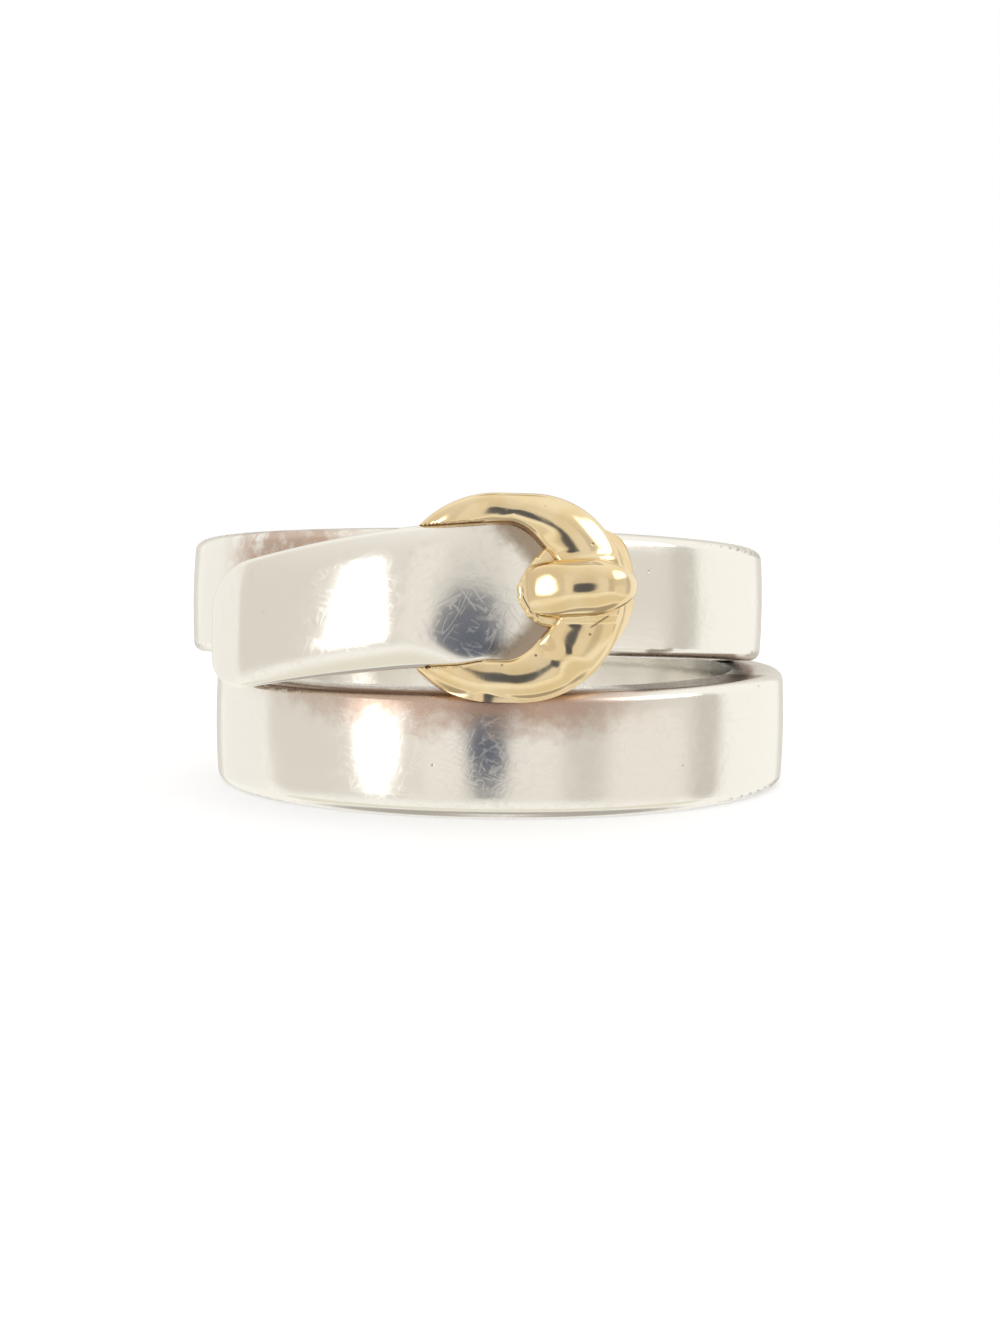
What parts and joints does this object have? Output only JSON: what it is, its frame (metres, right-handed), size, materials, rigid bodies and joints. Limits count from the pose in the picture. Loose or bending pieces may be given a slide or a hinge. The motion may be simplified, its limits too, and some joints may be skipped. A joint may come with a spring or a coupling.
{
  "type": "finger ring",
  "caption": "Belt-style double finger ring: silver bands parted by a slot in front, and a strap end that passes through a gold buckle loop with its tongue.",
  "frame": {"origin": "on the finger bore's axis, in the plane of the bottom rim that the ring stands on", "axes": "+Z along the finger bore, up; -Y towards the front with the buckle; +X to the right as seen from the front"},
  "size_m": [0.0208, 0.0221, 0.0098],
  "materials": {
    "silver": "polished silver with fine wear scratches and light tarnish",
    "gold": "polished pale yellow gold with a little dirt in its corners"
  },
  "bodies": {
    "root": {"double_band": "silver", "strap_end": "silver", "buckle_loop": "gold", "buckle_tongue": "gold"}
  },
  "joints": []
}
